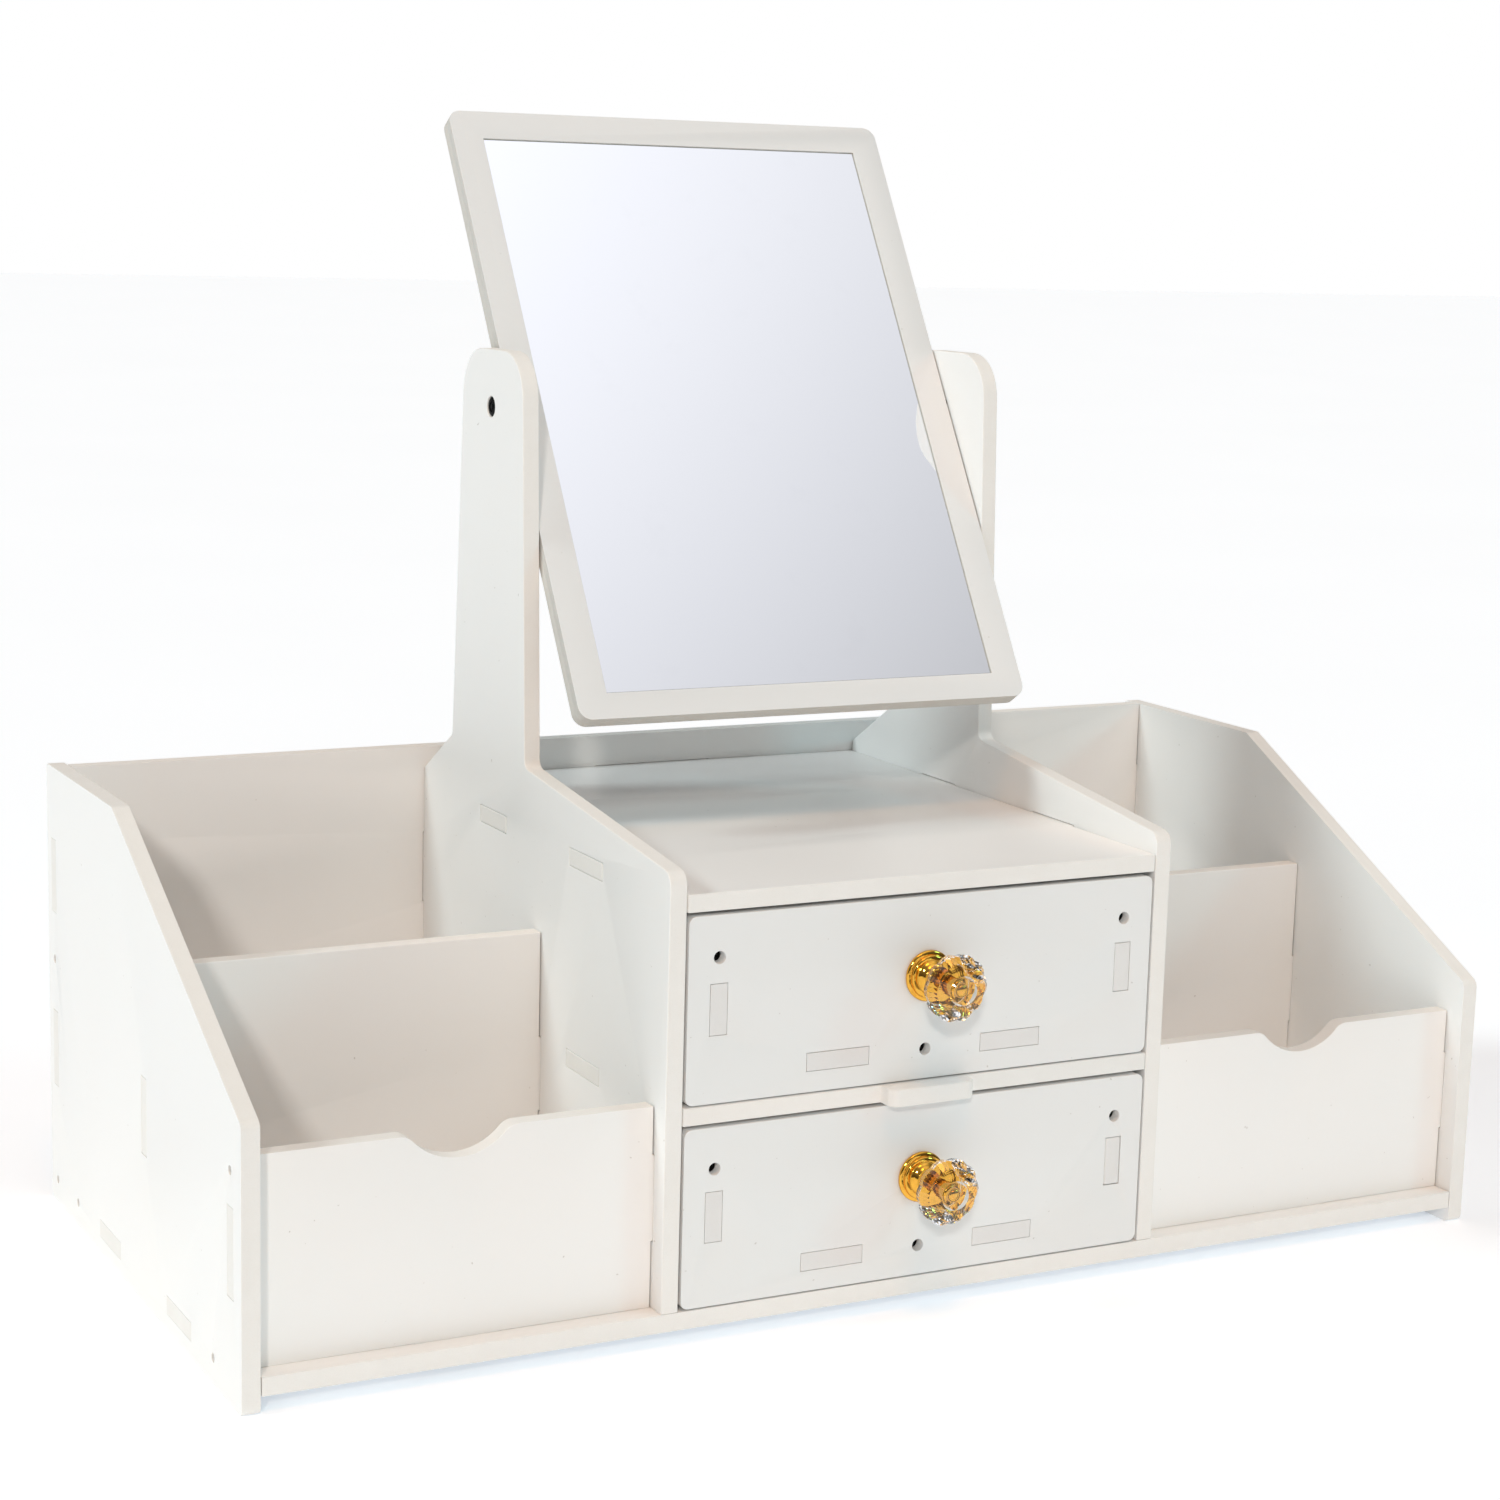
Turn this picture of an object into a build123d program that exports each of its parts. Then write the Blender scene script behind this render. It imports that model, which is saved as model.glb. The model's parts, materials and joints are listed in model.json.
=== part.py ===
"""Table-top vanity organiser: slotted foam boards, two drawers with crystal knobs, a tilting mirror.

The frame stands with +Z up, +X to the right and the drawers facing -Y. The origin lies on the
table, under the middle of the box that holds the whole object.
"""
from build123d import *
import math
import os

os.makedirs("parts", exist_ok=True)

# ------------------------------------------------------------------ driving sizes (mm)
board = 5.0                 # thickness of every board of the case and the drawers
seam = 0.3                  # board ends stop this far short of the board they slot into
play = 0.15                 # room round each tab in its slot

width, depth = 390.0, 188.0
foot = 4.8                  # the side panels reach this far below the base board
knob_reach = 20.0           # crystal knobs stand this far in front of the case

side_rear_top, side_front_top = 134.4, 76.0
side_level = 72.0           # length of the level top edge at the rear of a side panel
back_inset = 4.5            # rear face of the back panel, in from the side panels' rear edges

bay_half = 74.0             # half the clear width between the two dividers
lower_opening, upper_opening = 51.6, 53.2       # clear heights of the drawer openings

divider_front_top = 130.6
divider_slope_end = (98.4, 141.6)               # (behind the front, height) where the post begins
post_top = 260.0
post_top_span = (103.6, 147.8)                  # (front, rear) edge of the post at its top
post_heel = (154.9, 142.2)                      # foot of the post's rear edge
divider_rear_top = 127.8
post_corner = 14.0

compartment_setback, compartment_top = 83.9, 96.2
bin_setback, bin_top = 6.6, 66.0                # low fronts of the two open bins
scoop_radius, scoop_low, scoop_shoulder = 17.5, 58.8, 5.0
tongue_half, tongue_reach = 13.5, 6.0           # lip of the middle shelf between the drawers

pivot_setback, pivot_height = 126.8, 243.4
mirror_size = (147.0, 200.0)
mirror_tilt = 32.0                              # degrees back from upright at rest
mirror_pivot_low = 100.6                        # from the mirror's lower edge up to the pins
frame_thick, backing_thick, glass_thick = 2.6, 3.0, 2.1
glass_border = (9.8, 9.6, 8.0)                  # frame width at the sides, the top and the bottom
mirror_corner = 4.0

drawer_length = 172.0
drawer_box_half = 66.5                          # half the width over the drawer's side boards
drawer_front_half = 73.2
drawer_gap_low, drawer_gap_high = 0.5, 1.1      # under and over a drawer front
drawer_wall = 44.0                              # height of the drawer's side and back boards
drawer_floor = 5.9                              # underside of the drawer's bottom board

# ------------------------------------------------------------------ places worked out from them
half = width / 2
front = -(depth - knob_reach) / 2               # y of the case's front edges
rear = front + depth
base_z = (foot, foot + board)
middle_z = (base_z[1] + lower_opening, base_z[1] + lower_opening + board)
top_z = (middle_z[1] + upper_opening, middle_z[1] + upper_opening + board)
back_y = (rear - back_inset - board, rear - back_inset)
compartment_y = (front + compartment_setback, front + compartment_setback + board)
bin_y = (front + bin_setback, front + bin_setback + board)
side_x = {-1: (-half, board - half), 1: (half - board, half)}
divider_x = {-1: (-bay_half - board, -bay_half), 1: (bay_half, bay_half + board)}
bin_middle = (bay_half + half) / 2              # |x| of the middle of each open bin
pivot = (0, front + pivot_setback, pivot_height)
sides = {"left": -1, "right": 1}
foot_tab_z = (foot, base_z[1] + 10)             # foot tabs reach up into their own board

# tab places: y ranges are counted from the front, z ranges from the table
shelf_tabs = [(43.0, 65.5), (111.5, 131.5)]
base_tabs = [(43.5, 65.5), (111.5, 133.0)]
back_tabs = [(37.0, 60.0), (90.5, 112.5)]
compartment_tab, bin_tab = (43.0, 65.0), (28.5, 52.5)
divider_foot_tabs, divider_rear_tabs = [(28.0, 54.0), (120.0, 146.0)], [(30.0, 50.0), (85.0, 107.0)]
bin_foot_half, shelf_rear_half = 12.0, 20.0
nail_places = [(181.0, 76.0), (181.0, 7.3), (157.5, 7.3), (24.0, 7.3), (9.1, 62.0)]
nail_radius, nail_length, nail_sunk = 1.25, 14.0, 0.4


# ------------------------------------------------------------------ helpers for boards
def block(x, y, z, mode=Mode.ADD):
    """A box between two limits on each axis, added to or cut from the board being made."""
    with Locations((sum(x) / 2, sum(y) / 2, sum(z) / 2)):
        Box(x[1] - x[0], y[1] - y[0], z[1] - z[0], mode=mode)


def slot(x, y, z):
    """A slot for a tab that fills these limits, with a little play all round."""
    block(*[(low - play, high + play) for low, high in (x, y, z)], mode=Mode.SUBTRACT)


def from_front(span):
    """Turn a pair of distances behind the front edges into a pair of y values."""
    return (front + span[0], front + span[1])


def signed(sign, low, high):
    """The x range from low to high on the right, or its mirror image on the left."""
    return (low, high) if sign > 0 else (-high, -low)


def outlined(plane, corners, thick, mode=Mode.ADD):
    """Extrude a closed outline whose corners are (across, up, corner radius)."""
    with BuildSketch(plane) as outline:
        with BuildLine():
            FilletPolyline(*[(a, b) for a, b, r in corners], radius=[r for a, b, r in corners], close=True)
        make_face()
    extrude(outline.sketch, amount=thick, mode=mode)


def rod(radius, start, direction, length, mode=Mode.ADD):
    """A round bar or hole from a start point along X or Y."""
    with BuildSketch(Plane(origin=start, z_dir=direction)) as section:
        Circle(radius)
    extrude(section.sketch, amount=length, mode=mode)


def nails(mode, sunk):
    """The panel nails at both sides, as metal or as the holes that they fill."""
    for sign in sides.values():
        for setback, height in nail_places:
            start = (sign * (half - sunk), front + setback, height)
            rod(nail_radius, start, (-sign, 0, 0), nail_length - sunk, mode)


def save(piece, name):
    """Label a finished piece and write its STEP file."""
    piece.part.label = name
    export_step(piece.part, f"parts/{name}.step")


# ------------------------------------------------------------------ outer side panels
side_outline = [
    (front, 0, 2.0), (rear, 0, 3.0), (rear, side_rear_top, 1.5),
    (rear - side_level, side_rear_top, 3.0), (front, side_front_top, 3.0),
]
for side, sign in sides.items():
    with BuildPart() as side_panel:
        outlined(Plane.YZ.offset(side_x[sign][0]), side_outline, board)
        for tab in back_tabs:
            slot(side_x[sign], back_y, tab)
        for tab in base_tabs:
            slot(side_x[sign], from_front(tab), base_z)
        slot(side_x[sign], compartment_y, compartment_tab)
        slot(side_x[sign], bin_y, bin_tab)
        nails(Mode.SUBTRACT, 0)
    save(side_panel, f"{side}_side_panel")

# ------------------------------------------------------------------ base board and back panel
inner_half = half - board - seam
with BuildPart() as base_board:
    block((-inner_half, inner_half), (front, back_y[1]), base_z)
    for tab in base_tabs:
        block((-half, half), from_front(tab), base_z)
    for sign in sides.values():
        for tab in divider_foot_tabs:
            slot(divider_x[sign], from_front(tab), base_z)
        for board_y in (bin_y, compartment_y):
            slot(signed(sign, bin_middle - bin_foot_half, bin_middle + bin_foot_half), board_y, base_z)
        slot(signed(sign, bin_middle - bin_foot_half, bin_middle + bin_foot_half), back_y, base_z)
    nails(Mode.SUBTRACT, 0)
save(base_board, "base_board")

with BuildPart() as back_panel:
    block((-inner_half, inner_half), back_y, (base_z[1], side_rear_top))
    for tab in back_tabs:
        block((-half, half), back_y, tab)
    for sign in sides.values():
        block(signed(sign, bin_middle - bin_foot_half, bin_middle + bin_foot_half), back_y, foot_tab_z)
        for tab in divider_rear_tabs:
            slot(divider_x[sign], back_y, tab)
    for shelf_z in (middle_z, top_z):
        slot((-shelf_rear_half, shelf_rear_half), back_y, shelf_z)
    nails(Mode.SUBTRACT, 0)
save(back_panel, "back_panel")

# ------------------------------------------------------------------ dividers that carry the mirror
divider_outline = [
    (front, base_z[1], 0.5), (front, divider_front_top, 4.0),
    (front + divider_slope_end[0], divider_slope_end[1], 3.0),
    (front + post_top_span[0], post_top, post_corner), (front + post_top_span[1], post_top, post_corner),
    (front + post_heel[0], post_heel[1], 3.0),
    (back_y[0] - seam, divider_rear_top, 0), (back_y[0] - seam, base_z[1], 0),
]
pin_head_radius, pin_head_length, pin_radius = 2.95, 2.9, 1.85
pin_fit, pin_sunk = 0.05, 0.2                   # room round the turning pins; heads below the post's face
pin_grip = 8.0                                  # how far a pin goes into the mirror's edge
for side, sign in sides.items():
    with BuildPart() as divider:
        outlined(Plane.YZ.offset(divider_x[sign][0]), divider_outline, board)
        for tab in divider_foot_tabs:
            block(divider_x[sign], from_front(tab), foot_tab_z)
        for tab in divider_rear_tabs:
            block(divider_x[sign], (back_y[0] - board, back_y[1]), tab)
        for shelf_z in (middle_z, top_z):
            for tab in shelf_tabs:
                slot(divider_x[sign], from_front(tab), shelf_z)
        slot(divider_x[sign], compartment_y, compartment_tab)
        slot(divider_x[sign], bin_y, bin_tab)
        outer_face = (sign * (bay_half + board), pivot[1], pivot[2])
        rod(pin_radius + pin_fit, outer_face, (-sign, 0, 0), board, Mode.SUBTRACT)
        rod(pin_head_radius + pin_fit, outer_face, (-sign, 0, 0), pin_head_length + pin_fit, Mode.SUBTRACT)
    save(divider, f"{side}_divider")

# ------------------------------------------------------------------ shelves between the dividers
shelf_half = bay_half - seam
for name, shelf_z in (("top_shelf", top_z), ("middle_shelf", middle_z)):
    with BuildPart() as shelf:
        block((-shelf_half, shelf_half), (front, back_y[0] - seam), shelf_z)
        for tab in shelf_tabs:
            block((-bay_half - board, bay_half + board), from_front(tab), shelf_z)
        block((-shelf_rear_half, shelf_rear_half), (back_y[0] - board, back_y[1]), shelf_z)
        if name == "middle_shelf":
            lip = [
                (-tongue_half, front + board, 0), (-tongue_half, front - tongue_reach, 3.0),
                (tongue_half, front - tongue_reach, 3.0), (tongue_half, front + board, 0),
            ]
            outlined(Plane.XY.offset(shelf_z[0]), lip, board)
    save(shelf, name)

# ------------------------------------------------------------------ boards of the open bins
bin_inner, bin_outer = bay_half + board + seam, half - board - seam
for side, sign in sides.items():
    with BuildPart() as compartment_board:
        block(signed(sign, bin_inner, bin_outer), compartment_y, (base_z[1], compartment_top))
        block(signed(sign, bay_half, half), compartment_y, compartment_tab)
        block(signed(sign, bin_middle - bin_foot_half, bin_middle + bin_foot_half), compartment_y, foot_tab_z)
    save(compartment_board, f"{side}_compartment_board")

    with BuildPart() as bin_front:
        with BuildSketch(Plane.XZ.offset(-bin_y[1])) as panel:
            with Locations((sign * bin_middle, (base_z[1] + bin_top) / 2)):
                Rectangle(bin_outer - bin_inner, bin_top - base_z[1])
            with Locations((sign * bin_middle, scoop_low + scoop_radius)):
                Circle(scoop_radius, mode=Mode.SUBTRACT)
            lip_corners = panel.vertices().sort_by_distance((sign * bin_middle, bin_top, 0))[:2]
            fillet(lip_corners, radius=scoop_shoulder)
        extrude(amount=board)
        block(signed(sign, bay_half, half), bin_y, bin_tab)
        block(signed(sign, bin_middle - bin_foot_half, bin_middle + bin_foot_half), bin_y, foot_tab_z)
        nails(Mode.SUBTRACT, 0)
    save(bin_front, f"{side}_bin_front")

with BuildPart() as case_nails:
    nails(Mode.ADD, nail_sunk)
save(case_nails, "case_nails")

# ------------------------------------------------------------------ drawers
side_board_x = drawer_box_half - board / 2      # |x| of the middle of a drawer's side board
floor_tabs_x = (17.8, 36.9)                     # tabs of the bottom board through the front
wall_tab_half = 7.0                             # half height of a side board's tab through the front
floor_side_tabs = [(45.0, 67.0), (110.0, 132.0)]
back_wall_tab = (16.0, 34.0)                    # tab of the back wall through the side boards
screw_from_top, screw_from_bottom = 11.6, 8.4
screw_head_radius, screw_head_sunk, screw_head_end = 1.75, 2.8, 4.0
screw_radius, screw_tip = 1.0, 17.0
knob_bore, knob_rise = 2.1, 3.5                 # the knob sits a little above the middle of its front
front_y = (front, front + board)
drawer_back_y = (front + drawer_length - board, front + drawer_length)


def drawer_screws(places, mode, head_start):
    """The three sunk screws of one drawer, or the holes that they sit in."""
    for x, z in places:
        rod(screw_head_radius, (x, front + head_start, z), (0, 1, 0), screw_head_end - head_start, mode)
        rod(screw_radius, (x, front + screw_head_end, z), (0, 1, 0), screw_tip - screw_head_end, mode)


openings = {"lower": (base_z[1], lower_opening), "upper": (middle_z[1], upper_opening)}
knob_z = {}
for level, (opening_z, opening_height) in openings.items():
    low = opening_z + drawer_gap_low
    high = opening_z + opening_height - drawer_gap_high
    middle = (low + high) / 2
    floor_z = (low + drawer_floor, low + drawer_floor + board)
    wall_z = (low, low + drawer_wall)
    wall_tab = (middle - wall_tab_half, middle + wall_tab_half)
    rear_tab = (low + back_wall_tab[0], low + back_wall_tab[1])
    screw_places = [(-side_board_x, high - screw_from_top), (side_board_x, high - screw_from_top),
                    (0, low + screw_from_bottom)]
    knob_z[level] = middle + knob_rise

    with BuildPart() as drawer_front:
        face = [(-drawer_front_half, low, 2.2), (drawer_front_half, low, 2.2),
                (drawer_front_half, high, 2.2), (-drawer_front_half, high, 2.2)]
        outlined(Plane.XZ.offset(-front_y[1]), face, board)
        for sign in sides.values():
            slot(signed(sign, side_board_x - board / 2, side_board_x + board / 2), front_y, wall_tab)
            slot(signed(sign, *floor_tabs_x), front_y, floor_z)
        drawer_screws(screw_places, Mode.SUBTRACT, 0)
        rod(knob_bore, (0, front, knob_z[level]), (0, 1, 0), board, Mode.SUBTRACT)
    save(drawer_front, f"{level}_drawer_front")

    for side, sign in sides.items():
        wall_x = signed(sign, drawer_box_half - board, drawer_box_half)
        with BuildPart() as drawer_side:
            block(wall_x, (front_y[1] + play, drawer_back_y[1]), wall_z)
            block(wall_x, (front_y[0], front_y[1] + board), wall_tab)
            for tab in floor_side_tabs:
                slot(wall_x, from_front(tab), floor_z)
            slot(wall_x, drawer_back_y, rear_tab)
            drawer_screws(screw_places, Mode.SUBTRACT, 0)
        save(drawer_side, f"{level}_drawer_{side}_side")

    inner = drawer_box_half - board - play
    with BuildPart() as drawer_back:
        block((-inner, inner), drawer_back_y, wall_z)
        block((-drawer_box_half, drawer_box_half), drawer_back_y, rear_tab)
        slot((-shelf_rear_half, shelf_rear_half), drawer_back_y, floor_z)
    save(drawer_back, f"{level}_drawer_back")

    with BuildPart() as drawer_bottom:
        block((-inner, inner), (front_y[1] + play, drawer_back_y[0] - play), floor_z)
        for tab in floor_side_tabs:
            block((-drawer_box_half, drawer_box_half), from_front(tab), floor_z)
        for sign in sides.values():
            block(signed(sign, *floor_tabs_x), (front_y[0], front_y[1] + board), floor_z)
        block((-shelf_rear_half, shelf_rear_half), (drawer_back_y[0] - board, drawer_back_y[1]), floor_z)
        drawer_screws(screw_places, Mode.SUBTRACT, 0)
    save(drawer_bottom, f"{level}_drawer_bottom")

    with BuildPart() as screws:
        drawer_screws(screw_places, Mode.ADD, screw_head_sunk)
    save(screws, f"{level}_drawer_screws")

# ------------------------------------------------------------------ crystal knobs
# (distance in front of the drawer, radius) round the metal foot, from the drawer outwards
foot_profile = [(0, 7.2), (1.2, 7.2), (1.5, 6.4), (2.4, 6.2), (2.8, 4.8), (3.4, 4.4), (4.2, 3.3),
                (6.0, 3.1), (7.2, 4.2), (8.2, 5.0), (8.8, 5.0)]
crystal_stages = [(8.8, 5.2), (13.0, 9.5), (16.2, 9.5), (knob_reach, 4.6)]
crystal_faces = 10
knob_screw_radius, knob_screw_head = 2.0, (3.8, 2.4)
thread_end = 7.0                                # screw tip, in front of the drawer
stud_radius, stud_end = 2.2, 17.6

for level, z in knob_z.items():
    knob_axis = Axis((0, front, z), (0, 1, 0))
    with BuildPart() as knob_foot:
        with BuildSketch(Plane.YZ):
            with BuildLine():
                Polyline(*[(front - reach, z + radius) for reach, radius in foot_profile],
                         (front - foot_profile[-1][0], z), (front, z), close=True)
            make_face()
        revolve(axis=knob_axis)
        rod(knob_screw_radius, (0, front, z), (0, -1, 0), thread_end, Mode.SUBTRACT)
    save(knob_foot, f"{level}_knob_foot")

    with BuildPart() as knob_crystal:
        for (start, start_radius), (end, end_radius) in zip(crystal_stages, crystal_stages[1:]):
            with BuildSketch(Plane(origin=(0, front - start, z), z_dir=(0, -1, 0))) as stage:
                RegularPolygon(start_radius, crystal_faces)
            with BuildSketch(Plane(origin=(0, front - end, z), z_dir=(0, -1, 0))) as next_stage:
                RegularPolygon(end_radius, crystal_faces)
            loft([stage.sketch, next_stage.sketch])
        rod(stud_radius, (0, front - crystal_stages[0][0], z), (0, -1, 0),
            stud_end - crystal_stages[0][0], Mode.SUBTRACT)
    save(knob_crystal, f"{level}_knob_crystal")

    with BuildPart() as knob_stud:
        rod(stud_radius, (0, front - crystal_stages[0][0], z), (0, -1, 0), stud_end - crystal_stages[0][0])
    save(knob_stud, f"{level}_knob_stud")

    with BuildPart() as knob_screw:
        rod(knob_screw_radius, (0, front_y[1], z), (0, -1, 0), board + thread_end)
        rod(knob_screw_head[0], (0, front_y[1], z), (0, 1, 0), knob_screw_head[1])
        fillet(knob_screw.edges().group_by(Axis.Y)[-1], radius=1.2)
    save(knob_screw, f"{level}_knob_screw")

# ------------------------------------------------------------------ mirror
lean = math.radians(mirror_tilt)
mirror_plane = Plane(origin=pivot, x_dir=(1, 0, 0), z_dir=(0, -math.cos(lean), math.sin(lean)))
frame_half, frame_low, frame_top = mirror_size[0] / 2, -mirror_pivot_low, mirror_size[1] - mirror_pivot_low
glass_half = frame_half - glass_border[0]
glass_low, glass_top = frame_low + glass_border[2], frame_top - glass_border[1]
glass_play = 0.1
mirror_outline = [(-frame_half, frame_low, mirror_corner), (frame_half, frame_low, mirror_corner),
                  (frame_half, frame_top, mirror_corner), (-frame_half, frame_top, mirror_corner)]


def glass_corners(grow):
    """Corners of the glass, or of the window that is a little larger."""
    x, low, high = glass_half + grow, glass_low - grow, glass_top + grow
    return [(-x, low, 0), (x, low, 0), (x, high, 0), (-x, high, 0)]


def pin_sockets():
    """Cut the round sockets for both pivot pins into the board being made."""
    for sign in sides.values():
        edge = (sign * (frame_half - pin_grip), pivot[1], pivot[2])
        rod(pin_radius, edge, (sign, 0, 0), pin_grip, Mode.SUBTRACT)


with BuildPart() as mirror_frame:
    outlined(mirror_plane, mirror_outline, frame_thick)
    outlined(mirror_plane, glass_corners(glass_play), frame_thick, Mode.SUBTRACT)
    pin_sockets()
save(mirror_frame, "mirror_frame")

with BuildPart() as mirror_glass:
    outlined(mirror_plane, glass_corners(0), glass_thick)
save(mirror_glass, "mirror_glass")

with BuildPart() as mirror_backing:
    outlined(mirror_plane.offset(-backing_thick), mirror_outline, backing_thick)
    pin_sockets()
save(mirror_backing, "mirror_backing")

for side, sign in sides.items():
    with BuildPart() as pivot_pin:
        head_x = bay_half + board - pin_sunk
        head_face = (sign * head_x, pivot[1], pivot[2])
        rod(pin_head_radius, head_face, (-sign, 0, 0), pin_head_length - pin_sunk)
        rod(pin_radius, head_face, (-sign, 0, 0), head_x - frame_half + pin_grip)
    save(pivot_pin, f"{side}_pivot_pin")
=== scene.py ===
# %% [markdown]
# # A white vanity organiser with drawers and a tilting mirror
#
# This lesson dresses a finished CAD model of a small organiser that stands on a dressing table. The
# real one is cut from 5 mm sheets of foamed plastic with a smooth white skin. Tabs on one board sit in
# slots in the next, two drawers have knobs of cut crystal on gold feet, and a mirror turns between two
# posts. Shapes and places come from the CAD model. Everything that the eye reads as material is made
# here: softened edges, grainy cut ends, polished gold, crystal, silvered glass, and studio light.

# %% Load the fixed frame
import json
import math

import bmesh
import bpy
from mathutils import Matrix, Vector

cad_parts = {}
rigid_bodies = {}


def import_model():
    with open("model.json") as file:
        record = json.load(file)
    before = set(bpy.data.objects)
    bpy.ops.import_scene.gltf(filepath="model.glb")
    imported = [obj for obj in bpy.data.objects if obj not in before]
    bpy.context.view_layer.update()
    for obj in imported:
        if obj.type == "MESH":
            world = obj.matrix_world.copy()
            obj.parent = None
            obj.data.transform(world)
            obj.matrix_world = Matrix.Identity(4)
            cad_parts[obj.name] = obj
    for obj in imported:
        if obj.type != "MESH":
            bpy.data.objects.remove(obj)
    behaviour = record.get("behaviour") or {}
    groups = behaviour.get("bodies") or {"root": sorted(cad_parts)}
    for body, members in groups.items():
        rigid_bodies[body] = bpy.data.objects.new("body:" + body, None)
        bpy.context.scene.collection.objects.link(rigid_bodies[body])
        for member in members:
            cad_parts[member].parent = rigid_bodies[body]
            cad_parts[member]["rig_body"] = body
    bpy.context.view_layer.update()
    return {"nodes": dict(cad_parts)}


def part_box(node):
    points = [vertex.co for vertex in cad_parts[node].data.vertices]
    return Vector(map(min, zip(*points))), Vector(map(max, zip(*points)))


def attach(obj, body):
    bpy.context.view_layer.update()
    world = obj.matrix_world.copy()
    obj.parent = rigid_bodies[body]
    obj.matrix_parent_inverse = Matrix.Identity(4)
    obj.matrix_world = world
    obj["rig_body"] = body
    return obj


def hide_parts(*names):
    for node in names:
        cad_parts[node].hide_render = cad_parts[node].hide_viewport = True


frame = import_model()
nodes = frame["nodes"]
MM = 0.001                                      # one millimetre, in Blender's metres

# %% [markdown]
# ## Writing node trees as sums
#
# A finish is arithmetic on patterns: a little noise times a small number, plus a base value. Nodes say
# the same thing, but long chains of them are hard to read in a script. So one small class wraps an
# output socket and turns `+`, `-`, `*` and `/` into Math nodes, and one method makes every other node.
# The same class serves materials and Geometry Nodes, because both use the same Math node.

# %% A socket that understands arithmetic
class Wire:
    """An output socket. Sums and products of wires and numbers add the Math nodes that they need."""

    def __init__(self, bench, socket):
        self.bench = bench
        self.socket = socket

    def math(self, operation, *values):
        inputs = dict(enumerate(values))
        return self.bench.node(self.bench.math_node, {"operation": operation}, inputs)

    def __add__(self, other):
        return self.math("ADD", self, other)

    def __sub__(self, other):
        return self.math("SUBTRACT", self, other)

    def __rsub__(self, other):
        return self.math("SUBTRACT", other, self)

    def __mul__(self, other):
        return self.math("MULTIPLY", self, other)

    def __truediv__(self, other):
        return self.math("DIVIDE", self, other)

    def __rtruediv__(self, other):
        return self.math("DIVIDE", other, self)

    def __abs__(self):
        return self.math("ABSOLUTE", self)

    def sine(self):
        return self.math("SINE", self)

    def cosine(self):
        return self.math("COSINE", self)

    def beside(self, output):
        """Another output of the node that this wire comes from."""
        return Wire(self.bench, self.socket.node.outputs[output])

    __radd__ = __add__
    __rmul__ = __mul__


class Bench:
    """A node tree under construction, for a material, the sky or Geometry Nodes."""

    math_node = "ShaderNodeMath"

    def __init__(self, tree):
        self.tree = tree

    def node(self, kind, settings=None, inputs=None, output=0):
        """Add one node: settings first, then its inputs, and return one output.

        An input takes a number or colour, a wire, or a list of wires where the node joins several.
        """
        made = self.tree.nodes.new(kind)
        for name, value in (settings or {}).items():
            if name == "stops":
                self.set_stops(made.color_ramp, value)
            elif name == "curve":
                self.set_curve(made.mapping, value)
            else:
                setattr(made, name, value)
        for name, value in (inputs or {}).items():
            if isinstance(value, (Wire, list)):
                for wire in value if isinstance(value, list) else [value]:
                    self.tree.links.new(wire.socket, made.inputs[name])
            else:
                made.inputs[name].default_value = value
        return Wire(self, made.outputs[output]) if made.outputs else made

    @staticmethod
    def set_stops(ramp, stops):
        """Give a Color Ramp its (place, grey level) stops, of which it already has two."""
        for place, value in stops[:-2]:
            ramp.elements.new(place)
        for element, (place, value) in zip(ramp.elements, stops):
            element.position = place
            element.color = (value, value, value, 1)

    @staticmethod
    def set_curve(mapping, points):
        """Give a Float Curve its points, joined by straight lines."""
        curve = mapping.curves[0]
        for place, value in points[1:-1]:
            curve.points.new(place, value)
        for point, (place, value) in zip(curve.points, points):
            point.location = (place, value)
            point.handle_type = "VECTOR"
        mapping.update()


MIX_AMOUNT, MIX_FIRST, MIX_SECOND = 0, 6, 7      # where a Mix node keeps its sockets for colours
MIX_COLOUR = 2                                  # and which of its outputs is the mixed colour


class Finish(Bench):
    """A material under construction, with the patterns that this object's finishes share."""

    def __init__(self, name):
        self.material = bpy.data.materials.new(name)
        self.material.use_nodes = True
        super().__init__(self.material.node_tree)
        self.tree.nodes.clear()
        self.place = self.node("ShaderNodeTexCoord", output="Object")

    def noise(self, size, detail=2.0, rough=0.5):
        """Soft random patches about `size` metres across, from 0 to 1."""
        settings = {"Vector": self.place, "Scale": 1 / size, "Detail": detail, "Roughness": rough}
        return self.node("ShaderNodeTexNoise", {}, settings)

    def ramp(self, value, stops):
        """Bend a value through (place, level) stops."""
        return self.node("ShaderNodeValToRGB", {"stops": stops}, {"Fac": value})

    def blend(self, amount, first, second):
        """Mix two colours by an amount from 0 to 1."""
        first, second = (colour if isinstance(colour, Wire) else (*colour, 1) for colour in (first, second))
        inputs = {MIX_AMOUNT: amount, MIX_FIRST: first, MIX_SECOND: second}
        return self.node("ShaderNodeMix", {"data_type": "RGBA"}, inputs, output=MIX_COLOUR)

    def bump(self, height, distance):
        """Turn a height pattern into a surface relief of a real depth in metres."""
        return self.node("ShaderNodeBump", {}, {"Height": height, "Distance": distance, "Strength": 1.0})

    def surface(self, **sockets):
        """End the tree in a Principled shader, with underscores in names standing for spaces."""
        inputs = {name.replace("_", " "): value for name, value in sockets.items()}
        shader = self.node("ShaderNodeBsdfPrincipled", {}, inputs)
        self.node("ShaderNodeOutputMaterial", {}, {"Surface": shader})
        print("finish", self.material.name, "has", len(self.tree.nodes), "nodes")
        return self.material


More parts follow.
